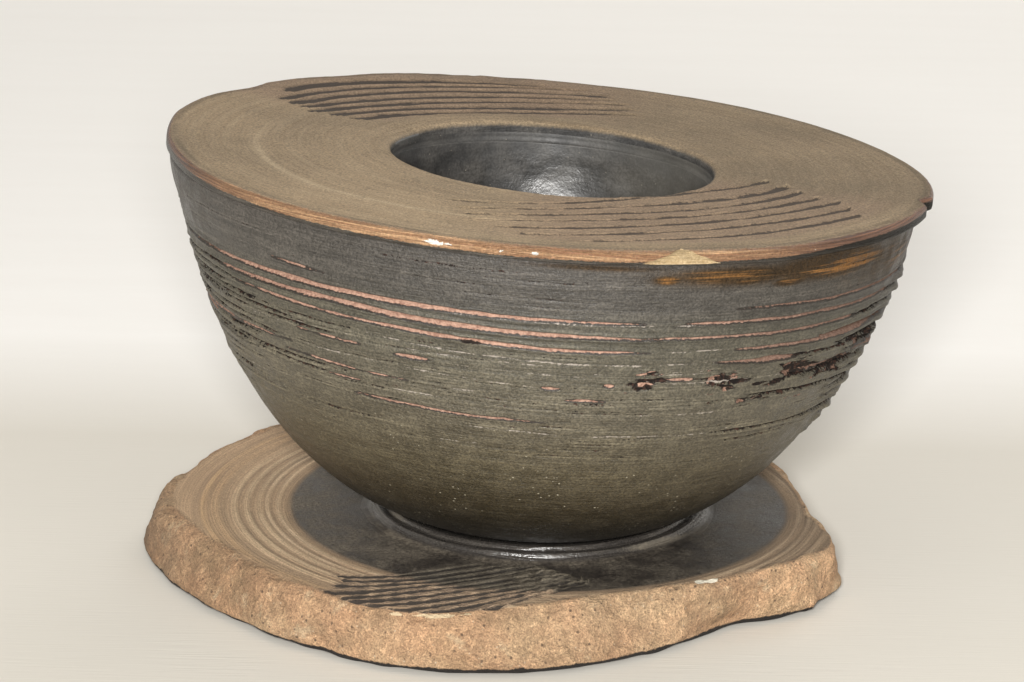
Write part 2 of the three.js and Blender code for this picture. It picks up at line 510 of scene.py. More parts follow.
def taupe_material():
    """The disc: matte taupe clay on top, a glossy copper edge, and black slip down the mouth."""
    s = Shader("taupe_clay")
    rings = s.strokes(0.55, 0.012, 4, 0.65)
    fibres = s.strokes(1.9, 0.10, 3, 0.6)
    strands = s.strokes(1.5, 0.035, 4, 0.7)
    grain = s.patches(1350, 4, 0.75)
    banded = torn(s, s.number("edge"), 0.9, 0.12)
    colour = s.mix(banded, combed_taupe(s, rings, fibres, grain), copper_edge(s, strands, grain))
    slipped = torn(s, s.number("slipped"), 1.2, 0.14)
    right = s.number("right")
    dark_slip = s.mix(strands, (0.030, 0.024, 0.018), (0.085, 0.074, 0.060))
    colour = s.mix(slipped, colour, s.varied(dark_slip, (grain, 0.75, 1.3), (right, 1.0, 0.36)))
    black, black_height = burnished(s)
    mouth = torn(s, s.number("mouth"), 1.0, 0.8)
    colour = s.mix(mouth, colour, black)
    chip = torn(s, s.number("chip"), 0.8)
    colour = s.mix(chip, colour, s.mix(grain, (0.44, 0.31, 0.16), (0.60, 0.46, 0.27)))
    # Painted highlights: white spots on the copper edge.
    colour = s.mix(torn(s, s.number("edge_glint"), 1.6), colour, (0.86, 0.84, 0.78))
    glossy = s.larger(s.times(mouth, 0.70), s.times(slipped, s.span(right, 1.0, 0.35)))
    roughness = s.span(s.larger(s.minus(banded, chip), glossy), 0.88, 0.33)
    relief = s.plus(s.times(rings, 0.30), s.times(fibres, 0.18))
    normal = s.bump(s.plus(relief, s.times(grain, 0.45)), 0.00030)
    normal = s.bump(s.times(strands, banded), 0.00040, normal)
    normal = s.bump(s.times(black_height, mouth), 0.00009, normal)
    sheen = s.span(s.times(slipped, right), 0.50, 0.10)
    return s.finish(colour, roughness, normal, Specular_IOR_Level=sheen)


# The colours of the slab's turned top, from the black zone out: (radius, colour).
RING_TONES = [
    (76, (0.036, 0.031, 0.026)), (79.6, (0.040, 0.034, 0.028)), (82.6, (0.190, 0.137, 0.090)),
    (84.2, (0.330, 0.240, 0.155)), (85.2, (0.560, 0.430, 0.290)), (86.2, (0.290, 0.207, 0.134)),
    (87.5, (0.185, 0.130, 0.085)), (88.8, (0.560, 0.430, 0.290)), (89.9, (0.170, 0.120, 0.078)),
    (91.3, (0.460, 0.350, 0.230)), (92.6, (0.300, 0.214, 0.138)), (93.9, (0.165, 0.116, 0.075)),
    (95.2, (0.510, 0.390, 0.255)), (96.6, (0.310, 0.220, 0.140)), (98.0, (0.165, 0.116, 0.075)),
    (99.0, (0.490, 0.370, 0.240)), (101.2, (0.330, 0.232, 0.148)), (103.7, (0.210, 0.148, 0.093)),
    (105.6, (0.370, 0.245, 0.140)), (108.0, (0.225, 0.150, 0.090)), (110.0, (0.400, 0.260, 0.140)),
    (111.4, (0.240, 0.165, 0.105)), (114, (0.330, 0.225, 0.140)), (124, (0.33, 0.225, 0.14)),
]


def scuffed_black(s):
    """Black slip scuffed to grey-brown: its colour and its roughness."""
    scuffs = s.patches(70, 5, 0.75)
    specks = s.patches(900, 4, 0.8)
    colour = s.mix(s.times(scuffs, 0.62), (0.032, 0.027, 0.023), (0.140, 0.118, 0.088))
    return s.varied(colour, (specks, 0.50, 1.52)), s.span(scuffs, 0.36, 0.66)


def grogged_clay(s, cloud, lumps, sand, grit):
    """The torn side's coarse buff clay, with dark grog and pale bits in it."""
    clay = s.mix(cloud, (0.365, 0.235, 0.132), (0.520, 0.355, 0.210))
    clay = s.mix(s.times(s.patches(55, 5, 0.65), 0.6), clay, (0.510, 0.292, 0.165))
    creamy = s.step(s.noise(95, 5, 0.7), 0.55, 0.70)
    clay = s.mix(s.times(creamy, 0.6), clay, (0.620, 0.480, 0.310))
    clay = s.varied(clay, (lumps, 0.84, 1.14), (sand, 0.80, 1.14), (grit, 0.72, 1.28))
    clay = s.shaded(clay, s.number("lit"))
    grog = s.times(s.specks(380, 0.24, 0.12), s.step(s.noise(240, 1), 0.48, 0.56))
    clay = s.mix(s.times(grog, 0.8), clay, (0.085, 0.055, 0.037))
    pale_bits = s.times(s.specks(460, 0.17, 0.08), s.step(s.noise(190, 1), 0.50, 0.58))
    return s.mix(s.times(pale_bits, 0.7), clay, (0.62, 0.50, 0.36))


def turned_clay(s, radius, cloud):
    """The top's turned rings in the tones listed above."""
    first, last = RING_TONES[0][0], RING_TONES[-1][0]
    along = s.math("DIVIDE", s.minus(radius, float(first)), float(last - first))
    rings = s.ramp(along, [((place - first) / (last - first), tone) for place, tone in RING_TONES])
    return s.mix(s.span(cloud, 0.25, 0.70), rings, (0.335, 0.232, 0.142))


def combed_clay(s, clay, in_zone, lumps, sand):
    """The turned clay with the comb's dark grooves and painted highlights on the ridges between them."""
    combed = combed_field(s)
    bed = s.mix(in_zone, (0.170, 0.122, 0.084), (0.112, 0.096, 0.072))
    bundle = s.times(s.number("bundle"), s.span(lumps, 0.55, 0.95))
    clay = s.mix(bundle, clay, s.varied(bed, (sand, 0.7, 1.3)))
    dragged = torn(s, combed, 1.9, 0.32)
    clay = s.mix(s.times(dragged, 0.88), clay, (0.024, 0.020, 0.018))
    # Painted highlight: the ridges beside the grooves are painted lighter.
    ridge_highlight = s.minus(s.step(combed, -1.0, -0.6), s.step(combed, -0.5, -0.2))
    return s.varied(clay, (ridge_highlight, 1.0, 1.55))


def slab_material():
    """Coarse buff clay with dark grog, turned smooth on top round a black slipped disc."""
    s = Shader("grogged_buff")
    cloud = s.patches(30, 4, 0.6)
    lumps = s.patches(170, 4, 0.7)
    sand = s.patches(800, 4, 0.75)
    grit = s.patches(1900, 3, 0.75)
    fine_rings = s.strokes(1.7, 0.02, 3, 0.6)
    radius = s.number("ring")
    in_zone = s.step(radius, 82.4, 79.6)
    black, black_roughness = scuffed_black(s)
    top = s.mix(in_zone, turned_clay(s, radius, cloud), black)
    top = s.shaded(top, s.number("shade"))
    top = s.varied(top, (fine_rings, s.span(in_zone, 0.84, 0.90), s.span(in_zone, 1.14, 1.10)))
    top = s.varied(combed_clay(s, top, in_zone, lumps, sand), (grit, 0.76, 1.26))
    side = grogged_clay(s, cloud, lumps, sand, grit)
    colour = s.mix(torn(s, s.number("turned"), 3.0, 0.9), side, top)
    # The left end's side is painted darker below its top edge.
    left_dark = s.times(s.number("left_end_dark"), s.span(cloud, 0.5, 1.0))
    colour = s.mix(left_dark, colour, (0.150, 0.105, 0.070))
    colour = s.mix(s.times(torn(s, s.number("crumb"), 1.2), 0.8), colour, (0.70, 0.56, 0.36))
    colour = s.mix(torn(s, s.number("white"), 0.9), colour, (0.84, 0.78, 0.64))
    # Painted shadow: near-black along the slab's lowest edge, where it is raised off the floor.
    colour = s.mix(torn(s, s.number("contact_shadow"), 1.4, 0.25), colour, (0.014, 0.010, 0.008))
    roughness = s.plus(s.times(in_zone, black_roughness), s.span(in_zone, 0.92, 0.0))
    coarse = s.times(s.plus(sand, s.times(lumps, 2.0)), s.number("rough"))
    normal = s.bump(coarse, 0.00040)
    normal = s.bump(s.times(fine_rings, s.span(in_zone, 1.0, 0.2)), 0.00012, normal)
    normal = s.bump(grit, 0.00007, normal)
    return s.finish(colour, roughness, normal)


def ring_material():
    """Glossy black slip, worn through to grey clay along the crest, over an apron like the slab's."""
    s = Shader("black_slip")
    strokes = s.strokes(1.1, 0.03, 3, 0.6)
    cloud = s.patches(90, 4, 0.6)
    grain = s.patches(1500, 2, 0.6)
    black = s.mix(strokes, (0.034, 0.030, 0.027), (0.060, 0.053, 0.046))
    black = s.varied(black, (grain, 0.75, 1.25))
    worn = s.times(torn(s, s.number("worn"), 1.6, 0.5), s.span(cloud, 0.30, 0.85))
    colour = s.mix(worn, black, (0.200, 0.172, 0.128))
    roughness = s.span(s.larger(worn, s.times(cloud, 0.20)), 0.22, 0.70)
    apron = s.number("apron")
    slab_black, slab_roughness = scuffed_black(s)
    colour = s.mix(apron, colour, s.shaded(slab_black, s.number("shade")))
    roughness = s.plus(s.times(roughness, s.span(apron, 1.0, 0.0)), s.times(apron, slab_roughness))
    strokes = s.times(strokes, s.span(apron, 1.0, 0.15))
    normal = s.bump(s.plus(strokes, cloud), 0.00016)
    normal = s.bump(grain, 0.00003, normal)
    return s.finish(colour, roughness, normal, Specular_IOR_Level=s.span(apron, 0.8, 0.5))


def cup_material():
    """The cup's burnished wall."""
    s = Shader("burnished_black")
    colour, height = burnished(s)
    gloss = s.patches(120, 4, 0.6)
    dusty, lip = s.number("dusty"), s.number("lip")
    colour = s.mix(s.times(dusty, 0.7), colour, (0.150, 0.138, 0.112))
    colour = s.varied(colour, (lip, 0.90, 0.74))
    roughness = s.plus(s.span(gloss, 0.30, 0.42), s.times(dusty, 0.15))
    roughness = s.plus(roughness, s.times(lip, 0.28))
    return s.finish(colour, roughness, s.bump(height, 0.00010), Specular_IOR_Level=1.0)


# The bowl

# What a score shows: bare pink clay, a pale line painted as a highlight glinting on a burr, or a dark cut
# that is partly painted shade.
BARE, GLINT, DARK = "bare", "pale", "dark"
Score = namedtuple("Score", "start end depths widths look gaps", defaults=(0.25,))

# The scored lines from the top down: the azimuths of both ends, depths and widths spread evenly
# between them, what shows in the line, and how much of it is broken by gaps.
SCORES = [
    Score(-135, -124, (19.0, 19.7), (0.4, 0.9, 0.5), BARE),
    Score(-60, -8, (20.0, 20.0, 19.8), (0.4, 0.8, 0.9), BARE, 0.0),
    Score(-190, -149, (26.0, 25.2, 24.4), (0.9,), DARK),
    Score(-161, -74, (25.0, 24.4, 24.2, 24.2), (0.5, 1.3, 1.7, 1.5, 1.4, 0.9, 0.4), BARE),
    Score(-104, -62, (24.9, 24.9), (0.30,), GLINT),
    Score(-68, -4, (24.2, 24.3, 24.2), (0.7, 0.9, 0.8), BARE, 0.0),
    Score(-190, -148, (33.0, 31.0, 28.4), (1.0,), DARK),
    Score(-158, -72, (28.8, 28.4, 28.0, 28.8, 29.1, 29.0), (0.4, 1.0, 1.6, 1.9, 1.6, 1.2, 0.4), BARE),
    Score(-76, -4, (29.0, 29.0, 28.9), (0.5, 0.9, 0.8), BARE, 0.1),
    Score(-190, -143, (33.8, 32.0, 32.0), (0.9,), DARK),
    Score(-147, -72, (32.0, 32.2, 33.0, 33.8, 33.9), (0.6, 0.9, 1.0, 1.2, 1.0, 0.4), BARE),
    Score(-72, -57, (33.8, 33.6), (0.32,), GLINT),
    Score(-58, -6, (33.5, 34.2, 33.5), (0.7, 1.3, 1.1, 0.7), BARE, 0.1),
    Score(-186, -119, (35.8, 36.2, 36.6), (0.5,), DARK),
    Score(-119, -60, (36.7, 37.9, 38.5, 37.6), (0.30, 0.42, 0.40), GLINT),
    Score(-61, -42, (37.6, 38.2), (0.6, 2.0, 1.6), BARE),
    Score(-46, 6, (38.4, 39.8, 40.2), (1.1,), DARK),
    Score(-132, -119, (40.8, 41.0), (0.8,), BARE, 0.9),
    Score(-113, -107, (41.7, 41.9), (1.0,), BARE),
    Score(-103, -82, (42.2, 42.8), (0.32,), GLINT),
    Score(-186, -137, (47.5, 43.6, 44.4, 45.7), (0.9,), DARK, 0.5),
    Score(-72, -44, (44.4, 44.9), (0.34,), GLINT),
    Score(-45, -10, (44.9, 43.0, 43.9), (0.6,), BARE, 0.6),
    Score(-79, -77, (45.4, 45.6), (1.1,), BARE),
    Score(-69, -64, (43.2, 43.2), (1.0,), BARE),
    Score(-131, -101, (45.4, 46.3), (0.30,), GLINT),
    Score(-103, -89, (46.1, 47.0), (0.34,), GLINT),
    Score(-89, -86, (47.0, 47.0), (0.9,), BARE),
    Score(-186, -144, (47.4, 49.0), (0.8,), DARK, 0.5),
    Score(-136, -111, (49.5, 50.4), (0.6,), BARE, 0.5),
    Score(-106, -99, (50.5, 50.5), (0.34,), GLINT),
    Score(-85, -78, (50.9, 50.9), (0.6,), BARE),
    Score(-51, 6, (51.0, 53.0, 54.0), (1.1,), DARK),
    Score(-186, -127, (52.0, 53.3), (0.75,), DARK, 0.5),
    Score(-127, -120, (53.6, 54.0), (0.6,), BARE),
    Score(-114, -105, (54.2, 54.2), (0.34,), GLINT),
    Score(-122, -87, (58.6, 59.3), (0.6,), BARE, 0.5),
    Score(-108, -57, (62.5, 63.6, 63.5), (0.30,), GLINT),
    Score(-57, -22, (63.5, 64.0), (0.8,), DARK),
    Score(-52, -36, (67.3, 67.3), (0.6,), DARK),
]
# Where the slip was torn away in flakes: (azimuth, depth, reach in degrees, height).
TORN_PATCHES = [
    (-71, 44.2, 3.6, 2.5), (-58, 44.6, 4.2, 2.9), (-43, 43.5, 5.4, 2.7), (-44, 46.5, 3.8, 1.5),
    (-29, 44.5, 5.0, 1.8), (-31, 49.0, 4.0, 1.1), (-49, 52.5, 3.6, 0.8), (-20, 40.0, 4.0, 1.4),
]
SMALL_CHIP = (-100, 33.4, 2.0, 1.0)
# Orange and brown stains: (azimuth, depth, reach in degrees, height, strength).
STAINS = [
    (-41, 8.8, 15, 4.4, 1.0), (-20, 12.0, 22, 9.5, 0.55), (-60, 9.0, 14, 3.6, 0.72),
    (-72, 9.9, 2.6, 1.7, 0.8), (-59, 10.6, 3.4, 1.5, 0.9), (-51, 12.2, 3.4, 1.5, 0.9),
    (-82, 6.5, 12, 1.2, 0.55),
]
# Deep grooves at both sides of the bowl, as seen from the front: the azimuth of the bowl's outline
# there, which way is inwards, the first and last depth, the pitch, the width and the gaps.
FIRST_NOTCH, LAST_NOTCH, NOTCH_PITCH = 20.4, 74, 4.3
SIDE_GROOVES = [
    (-171, 1, 36.2, LAST_NOTCH, 2.95, 0.7, 0.4),
    (-8, -1, FIRST_NOTCH, LAST_NOTCH, NOTCH_PITCH, 1.9, 0.15),
]
SCORED_DEPTH = 70


def grooves_by_the_sides():
    """Evenly spaced deep grooves that run round from the back and die out before the front."""
    chance = np.random.default_rng(31)
    scores = []
    for limb, inwards, first, last, pitch, wide, gaps in SIDE_GROOVES:
        for depth in np.arange(first, last, pitch):
            depths = (depth + chance.uniform(-0.3, 0.3), depth + chance.uniform(-0.4, 0.6))
            reach = 28 * chance.uniform(0.6, 1.3) * (1 - 0.6 * smooth(depth, 50, 76))
            reach *= smooth(depth, 10, 38)
            hidden_end = limb - chance.uniform(10, 65) * inwards
            start, end = sorted((hidden_end, limb + reach * inwards))
            width = wide * chance.uniform(1.0, 1.35)
            scores.append(Score(start, end, depths, (width,), DARK, gaps))
    return scores


def unseen_scores():
    """Scored lines round the back, and faint ones all round."""
    chance = np.random.default_rng(23)
    scores = []
    for depth in np.arange(19.5, 66, 1.7):
        start = chance.uniform(-5, 60)
        while start < 180:
            length = chance.uniform(14, 75)
            depths = tuple(depth + chance.uniform(-0.7, 0.7, 2))
            look = chance.choice([BARE, GLINT, DARK], p=[0.34, 0.10, 0.56])
            if depth < 40 or chance.random() < 0.6:
                scores.append(Score(start, start + length, depths, (chance.uniform(0.5, 1.4),), look))
            start += length + chance.uniform(6, 60)
    for _ in range(150):
        depth = chance.uniform(34, 72)
        start = chance.uniform(-180, 180)
        look = chance.choice([GLINT, DARK], p=[0.10, 0.90])
        depths = (depth, depth + chance.uniform(-0.5, 0.5))
        end = start + chance.uniform(5, 26)
        scores.append(Score(start, end, depths, (chance.uniform(0.10, 0.24),), look))
    for _ in range(46):
        depth = chance.uniform(7, 23)
        start = chance.uniform(-180, 180)
        depths = (depth, depth + chance.uniform(-0.4, 0.4))
        end = start + chance.uniform(5, 30)
        scores.append(Score(start, end, depths, (chance.uniform(0.02, 0.14),), DARK))
    return scores


def score_field(score, azimuth, depths, order):
    """Millimetres in from the score's edges: columns run along the azimuths, rows down the depths."""
    turn = near_azimuth(azimuth, (score.start + score.end) / 2)
    lane = np.stack([2.0 * turn, np.full(turn.shape, 9.1 * order), np.zeros(turn.shape)], axis=-1)
    along = (turn - score.start) / (score.end - score.start)
    middle = np.interp(along, np.linspace(0, 1, len(score.depths)), score.depths)
    middle = middle + 0.30 * noise(lane, 13, 1) + 0.13 * noise(lane, 3.4, 2)
    to_end = np.minimum(turn - score.start, score.end - turn)
    taper = np.sqrt(np.clip(to_end / min(7.0, 0.5 * (score.end - score.start)), 0, 1))
    widths = np.interp(along, np.linspace(0, 1, len(score.widths)), score.widths)
    width = widths * (0.3 + 0.7 * taper) * (1 + 0.30 * noise(lane, 7, 4))
    gaps = score.gaps * np.clip(noise(lane, 6, 5) - 0.05, 0, 1)
    half_width = 0.5 * width - gaps + 2.0 * np.minimum(to_end, 0)
    return half_width - np.abs(depths[:, None] - middle)


def bowl_underside(x, y):
    """The height of the bowl's outside above each point of the slab."""
    height = np.full(np.shape(x), SLAB_TOP)
    for _ in range(5):
        place = world_to_pot(np.stack([x, y, height], axis=-1))
        share = np.clip(np.hypot(place[..., 0], place[..., 1]) / BOWL_RIM_RADIUS, 0, 1)
        level = (1 - share ** (1 / BOWL_FOOT)) ** (1 / BOWL_BEND)
        height = height - BOWL_RIM_DEPTH - BOWL_DEPTH * level - place[..., 2]
    return height


def bowl_section():
    """Up the outside from the foot, closely where it is scored, and down the inside."""
    fall = np.cos(np.linspace(0, math.pi / 2, 400))
    width = (1 - fall**BOWL_BEND) ** BOWL_FOOT
    outside = wall(BOWL_RIM_RADIUS, BOWL_DEPTH, width, fall)
    outside = paced(outside, lambda radius, height: np.where(height > -SCORED_DEPTH, 0.43, 1.35))
    inside = wall(BOWL_RIM_RADIUS - BOWL_WALL, BOWL_DEPTH - BOWL_WALL, width, fall)
    return np.concatenate([outside, paced(inside[::-1], even(12.0))])


def scored(azimuths, depths, shape):
    """The fields of the scored lines' marks, and the relief they cut with the burrs they raise."""
    marks = {look: np.full(shape, UNMARKED) for look in (BARE, GLINT, DARK)}
    relief = np.zeros(shape)
    for order, score in enumerate(SCORES + grooves_by_the_sides() + unseen_scores()):
        rows = np.flatnonzero((depths > min(score.depths) - 4) & (depths < max(score.depths) + 4))
        field = score_field(score, azimuths, depths[rows], order)
        marks[score.look][rows] = np.maximum(marks[score.look][rows], field)
        widest = max(score.widths)
        cut = (0.20 + 0.36 * widest) * (2.0 if score.look == DARK else 1.0)
        relief[rows] -= cut * smooth(field, -0.25, 0.30) * (1 - 0.5 * (score.look == GLINT))
        relief[rows] += (0.26 if widest < 1.9 else 0.55) * hill(field, -0.55, 0.40) * (widest > 0.6)
    return marks, np.clip(relief, -2.0, 0.6)


def tear_away(marks, relief, grid, outside):
    """Adds the torn patches and one small chip to the bowl's marks and relief."""
    azimuth, depth = polar(grid)[0], -grid[..., 2]
    tears = layered(grid, (5, 5, 1.1), 3, 4)
    bits = noise(grid, (2.8, 2.8, 0.9), 7)
    for middle, level, reach, height in TORN_PATCHES:
        flake = height * oval(aside(azimuth, middle) / reach, (depth - level) / height)
        flake += 2.6 * tears - 0.7
        marks[DARK] = np.where(outside, np.maximum(marks[DARK], 0.5 * flake), marks[DARK])
        crust = np.where(outside & (flake > -1.0), 1.3 * bits - 0.32 - 0.3 * np.abs(flake), UNMARKED)
        marks[BARE] = np.maximum(marks[BARE], crust)
        relief -= 0.7 * smooth(flake, 0, 0.8)
        relief += 0.30 * hill(flake, -0.4, 0.4)
    middle, level, reach, height = SMALL_CHIP
    chip = 0.9 * oval((azimuth - middle) / reach, (depth - level) / height)
    marks[DARK] = np.maximum(marks[DARK], chip)
    relief -= 0.6 * smooth(chip, 0.1, 0.5)


def burrs_between_grooves(grid):
    """Burrs that notch the bowl's outline at its right, as seen from the front."""
    azimuth, depth = polar(grid)[0], -grid[..., 2]
    between = np.abs(((depth - FIRST_NOTCH) / NOTCH_PITCH) % 1 - 0.5)
    from_limb = azimuth + 9 + 0.145 * depth + 1.2 * noise(grid, 9, 3)
    burrs = smooth(between, 0.42, 0.08) * hill(from_limb, 0, 3.0)
    burrs = 1.25 * burrs * smooth(depth, 18, 23) * smooth(depth, 84, 66)
    return burrs * (0.8 + 0.7 * noise(grid, (7, 7, 4), 4))


def make_bowl():
    section = bowl_section()
    azimuths = columns(360, 0.34)
    grid = turned(section, azimuths)
    azimuth, radius = polar(grid)
    depth = -grid[..., 2]
    outer_rows = np.argmax(section[:, 1]) + 1
    outside = np.arange(len(section))[:, None] < outer_rows
    marks, relief = scored(azimuths, -section[:outer_rows, 1], depth.shape)
    tear_away(marks, relief, grid, outside)
    relief += 0.16 * noise(grid, (60, 60, 5.5), 2) + 0.10 * noise(grid, (45, 45, 1.9), 6)
    relief += 0.05 * noise(grid, (9, 9, 3), 8) + burrs_between_grooves(grid)
    relief *= smooth(depth, 5.0, 6.5) * smooth(radius, 60, 75)
    relief += 2.0 * hill(aside(azimuth, -165), 0, 40) * smooth(depth, 26, 5)
    front = near_azimuth(azimuth, -90)
    attributes = {
        **marks,
        "stain": np.max([strength * hill(azimuth, middle, reach) * hill(depth, level, height)
                         for middle, level, reach, height, strength in STAINS], axis=0),
        "shade": 1.08 - 0.50 * smooth(front, -80, -38),
        "tone": 1.0 + 0.22 * smooth(front, -112, -150),
        "lines": np.stack([depth, grid[..., 0], grid[..., 1]], axis=-1),
    }
    grid = raised(grid, np.where(outside, relief, 0))
    return build("scored_bowl", pot_to_world(grid), attributes, True, slip_material())


# The disc

Comb = namedtuple("Comb", "tracks start_half end_half")

# Each tooth's track is a list of (azimuth, radius). The first comb stroke starts deep at the back
# left and fades; the second fades in at the front and ends deep at the right, with a burr.
BACK_COMB = [
    [(139, 115.8), (131, 116.8), (120, 115.2), (106, 113.5), (92, 113.5)],
    [(145, 107.8), (130, 109.0), (110, 107.3), (99, 109.0), (85, 112.5)],
    [(147, 99.8), (133, 100.8), (112, 99.5), (96, 102.0), (80, 105.0)],
    [(148, 95.0), (137, 93.0), (116, 90.8), (98, 93.5), (78, 101.5)],
    [(151, 88.4), (136, 85.3), (119, 83.8), (101, 85.6), (75, 97.5)],
    [(150, 80.2), (136, 78.3), (125, 76.2), (108, 75.2), (73, 89.0)],
    [(150, 73.0), (135, 70.3), (123, 67.8), (104, 69.0), (70, 83.0)],
]
FRONT_COMB = [
    [(-112, 77.0), (-95, 67.3), (-77, 58.2), (-54, 54.4), (-32, 56.4), (-8, 70.0)],
    [(-108, 84.5), (-92, 73.0), (-70, 65.2), (-52, 64.4), (-31, 68.2), (-12, 76.5)],
    [(-105, 91.0), (-92, 80.4), (-70, 73.4), (-49, 72.0), (-30, 76.0), (-15, 82.2)],
    [(-103, 96.0), (-89, 86.8), (-67, 80.5), (-53, 78.2), (-34, 82.2), (-18, 88.6)],
    [(-98, 102.0), (-80, 92.6), (-58, 86.6), (-40, 87.6), (-19, 96.0)],
    [(-94, 108.4), (-81, 100.8), (-61, 95.2), (-42, 95.0), (-23, 101.4)],
    [(-86, 112.0), (-73, 106.8), (-58, 103.8), (-42, 104.0), (-27, 107.4)],
]
BACK_STROKE = Comb(BACK_COMB, 2.1, 1.1)
FRONT_STROKE = Comb(FRONT_COMB, 0.90, 1.25)

# The disc's uneven edge: (azimuth, radius).
DISC_OUTLINE = [
    (-168, 120.8), (-150, 121.6), (-137, 121.8), (-119, 123.2), (-91, 123.2), (-74, 121.6), (-55, 121.2),
    (-38, 119.8), (-26, 120.8), (-14, 121.8), (0, 123.6), (30, 123.5), (60, 124.8), (85, 124.4),
    (102, 126.0), (114, 128.4), (124, 127.0), (138, 127.6), (144, 124.8), (150, 126.2), (165, 124.8),
    (178, 122.2),
]
# A bite out of the edge: azimuth, reach in degrees and how deep it goes.
NOTCH = (-9, 3.0, 3.6)
# A pale chip in the edge: azimuth, half its base and its height.
CHIP = (-70.5, 15.0, 7.6)
# Painted highlights on the edge, as white spots: (azimuth, reach in degrees, height).
EDGE_GLINTS = [
    (-105.5, 1.4, 0.7), (-103.8, 0.7, 0.4), (-96, 0.3, 0.3), (-91.5, 0.6, 0.4), (-83, 0.25, 0.3),
    (-48, 0.25, 0.3),
]
# How far down the edge's copper band goes before the dark slip: (azimuth, depth).
EDGE_BAND_DEPTHS = [
    (-175, 1.6), (-152, 2.4), (-137, 3.1), (-118, 3.3), (-98, 3.5), (-78, 3.5), (-50, 3.0), (-38, 2.4),
    (-26, 1.9), (-10, 1.6), (60, 2.2), (150, 1.8),
]
# How light the disc's clay is: (azimuth, factor).
DISC_TONES = [
    (-175, 0.93), (-150, 0.97), (-125, 1.06), (-90, 1.02), (-45, 0.95), (-28, 0.92), (-14, 0.78), (0, 0.78),
    (30, 0.82), (70, 0.78), (110, 0.84), (150, 1.02),
]


def comb_fields(comb, along, across, grid, sway):
    """Each point's place among the teeth, counted in teeth, their pitch and their marks' half width."""
    middles, shares, beyond = [], [], []
    for order, track in enumerate(comb.tracks):
        places, levels = np.array(track, float).T
        inside = np.clip(along, places.min() - 3, places.max() + 3)
        fit = np.polyfit(places, levels, min(3, len(places) - 1))
        wander = noise(grid, 21, order) + 0.25 * noise(grid, 5, order)
        middles.append(np.polyval(fit, inside) + sway * wander)
        shares.append(np.clip((along - places[0]) / (places[-1] - places[0]), 0, 1))
        beyond.append(np.maximum(places.min() - along, 0) + np.maximum(along - places.max(), 0))
    middles = np.array(middles)
    gaps = np.diff(middles, axis=0)
    gaps = np.sign(np.median(gaps)) * np.maximum(np.abs(gaps), 1.2)
    number = np.clip((across - middles[:-1]) / gaps, 0, 1).sum(axis=0)
    number += np.clip((across - middles[0]) / gaps[0], -0.49, 0)
    number += np.clip((across - middles[-1]) / gaps[-1], 0, 0.49)
    nearest = np.clip(np.rint(number), 0, len(middles) - 1).astype(int)[None]
    pitch = np.take_along_axis(np.abs(gaps), np.clip(nearest, 0, len(gaps) - 1), axis=0)[0]
    share = np.take_along_axis(np.array(shares), nearest, axis=0)[0]
    past = np.take_along_axis(np.array(beyond), nearest, axis=0)[0]
    return number, pitch, comb.start_half + (comb.end_half - comb.start_half) * share - 1.5 * past


def comb_field(number, pitch, half):
    """Millimetres in from the edge of the nearest tooth's mark."""
    return half - pitch * np.abs(number - np.rint(number))


def disc_section():
    """A closed loop: out along the underside, up the round edge, in over the top, down the mouth."""
    low, high, lip = 1.0, 1.6, 2.4
    under = [(MOUTH_RADIUS, -DISC_THICKNESS), (DISC_RADIUS - low, -DISC_THICKNESS)]
    rim = arc((DISC_RADIUS - low, low - DISC_THICKNESS), low, -90, 0, 5)[1:]
    rim += arc((DISC_RADIUS - high, -high), high, 0, 90, 7)
    mouth = arc((MOUTH_RADIUS + lip, -lip), lip, 90, 180, 9)
    top = paced([rim[-1], mouth[0]], even(0.50))[1:-1]
    side = paced([rim[3], rim[4]], even(0.6))[1:-1]
    down = paced([mouth[-1], (MOUTH_RADIUS, -DISC_THICKNESS)], even(0.7))[1:-1]
    bottom = paced(under, even(6.0))
    return np.concatenate([bottom, rim[:4], side, rim[4:], top, mouth, down])


def disc_grid(azimuths):
    """The turned disc, stretched out to its uneven edge, with its mouth a little off the middle."""
    section = disc_section()
    grid = turned(section, azimuths)
    share = (section[:, 0] - MOUTH_RADIUS) / (DISC_RADIUS - MOUTH_RADIUS)
    outline = closed_curve(azimuths, DISC_OUTLINE) + 0.30 * noise(grid[np.argmax(section[:, 0])], 14, 5)
    stretch = 1 + share[:, None] ** 3 * (outline / DISC_RADIUS - 1)
    grid[..., :2] = grid[..., :2] * stretch[..., None] + MOUTH_OFFSET * (1 - share[:, None, None])
    return grid, outline


def disc_combs(grid, behind):
    """The comb's fields over the disc: the back stroke behind, the front stroke elsewhere."""
    azimuth, radius = polar(grid)
    strokes = [comb_fields(comb, azimuth, radius, grid, 0.4) for comb in (BACK_STROKE, FRONT_STROKE)]
    number, pitch, half = (np.where(behind, *fields) for fields in zip(*strokes))
    half += (0.25 * noise(grid, 8, 5) + 0.22 * noise(grid, 2.6, 6)) * np.where(behind, 1.8, 1.7)
    return number, pitch, half


def burrs_at_the_ends(comb, grid):
    """Small burrs where the comb's teeth left the clay."""
    azimuth, radius = polar(grid)
    ends = [track[-1] for track in comb.tracks]
    burrs = sum(hill(azimuth, end + 1.2, 1.0) * hill(radius, level + 0.6, 1.8) for end, level in ends)
    return burrs * (0.8 + noise(grid, 1.6, 2))


def chip_field(grid, from_edge):
    """Millimetres in from the outline of the chip, which climbs the disc's edge to a point."""
    middle, half_base, rise = CHIP
    azimuth, radius = polar(grid)
    up_the_edge = grid[..., 2] + DISC_THICKNESS + np.clip(from_edge - 0.4, 0, None)
    beside = np.radians(np.abs(aside(azimuth, middle))) * radius
    half_width = half_base * np.clip(1 - up_the_edge / rise, 0, 1) ** 1.9
    chip = np.where((from_edge < 12) & (up_the_edge < rise), half_width - beside, UNMARKED)
    chip = np.clip(chip + 0.7 * noise(grid, 2.6, 7) + 0.3 * noise(grid, 1.0, 8), UNMARKED, 4)
    return np.where(grid[..., 2] < -DISC_THICKNESS + 0.3, UNMARKED, chip)


